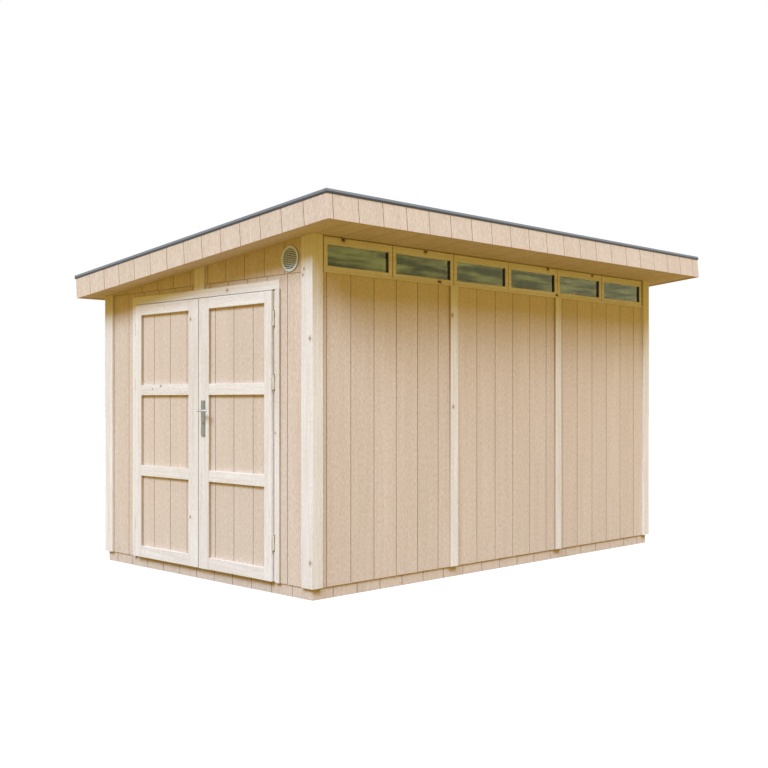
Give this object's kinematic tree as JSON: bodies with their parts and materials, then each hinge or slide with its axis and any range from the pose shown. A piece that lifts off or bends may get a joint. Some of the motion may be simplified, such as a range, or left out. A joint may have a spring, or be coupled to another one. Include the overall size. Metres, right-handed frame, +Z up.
{
  "type": "wooden garden shed",
  "caption": "Timber garden shed with a mono-pitch roof, grooved sheet cladding, a clerestory row of fixed windows, a round vent and a pair of framed doors that swing outwards.",
  "frame": {"origin": "centre of the overall box, on the ground", "axes": "+Z up, -Y out of the doors, +X out of the window wall"},
  "size_m": [2.8558, 4.213, 2.4257],
  "materials": {
    "siding": "brushed, unpainted grooved sheet",
    "trim": "planed, unpainted spruce",
    "framing": "sawn softwood",
    "glass": "clear",
    "hinge_steel": "zinc plated",
    "lock_steel": "satin",
    "vent_plastic": "moulded",
    "roofing_felt": "mineral felt",
    "edge_metal": "satin grey"
  },
  "bodies": {
    "shed": {"plinth_ends": "siding", "plinth_sides": "siding", "front_wall_sheets": "siding", "front_gable_sheets": "siding", "window_wall_sheets": "siding", "back_wall_sheets": "siding", "low_wall_sheets": "siding", "gable_fascias": "siding", "eave_fascias": "siding", "soffits": "siding", "gable_corner_boards": "trim", "side_corner_boards": "trim", "cover_battens": "trim", "front_gable_post": "trim", "window_sill": "trim", "window_sashes": "trim", "door_jambs": "trim", "door_head": "trim", "floor_bearers": "framing", "floor_boards": "framing", "bottom_plates": "framing", "wall_studs": "framing", "top_plates": "framing", "door_lintel": "framing", "window_mullions": "framing", "door_stops": "framing", "door_threshold": "framing", "rafters": "framing", "roof_deck": "framing", "window_panes": "glass", "frame_hinges": "hinge_steel", "vent_grille": "vent_plastic", "roof_felt": "roofing_felt", "roof_edge_strips": "edge_metal", "roof_edge_flanges": "edge_metal"},
    "left_door": {"left_door_sheet": "siding", "left_door_stiles": "trim", "left_door_rails": "trim", "left_door_hinges": "hinge_steel"},
    "right_door": {"right_door_sheet": "siding", "right_door_stiles": "trim", "right_door_rails": "trim", "right_door_hinges": "hinge_steel", "lock_plates": "lock_steel"},
    "door_lever": {"lever_handle": "lock_steel"}
  },
  "joints": [
    {"name": "left_door_hinge", "type": "hinge", "parent": "shed", "child": "left_door", "pos_m": [-0.87591, -1.9175, 1], "axis": [0, 0, -1], "range_deg": [0, 110]},
    {"name": "right_door_hinge", "type": "hinge", "parent": "shed", "child": "right_door", "pos_m": [0.71209, -1.9175, 1], "axis": [0, 0, 1], "range_deg": [0, 110]},
    {"name": "lever_turn", "type": "hinge", "parent": "right_door", "child": "door_lever", "pos_m": [-0.02291, -1.9255, 1.146], "axis": [0, 1, 0], "range_deg": [0, 40], "stiffness_Nm_per_rad": 2, "springref_deg": -28.65}
  ]
}
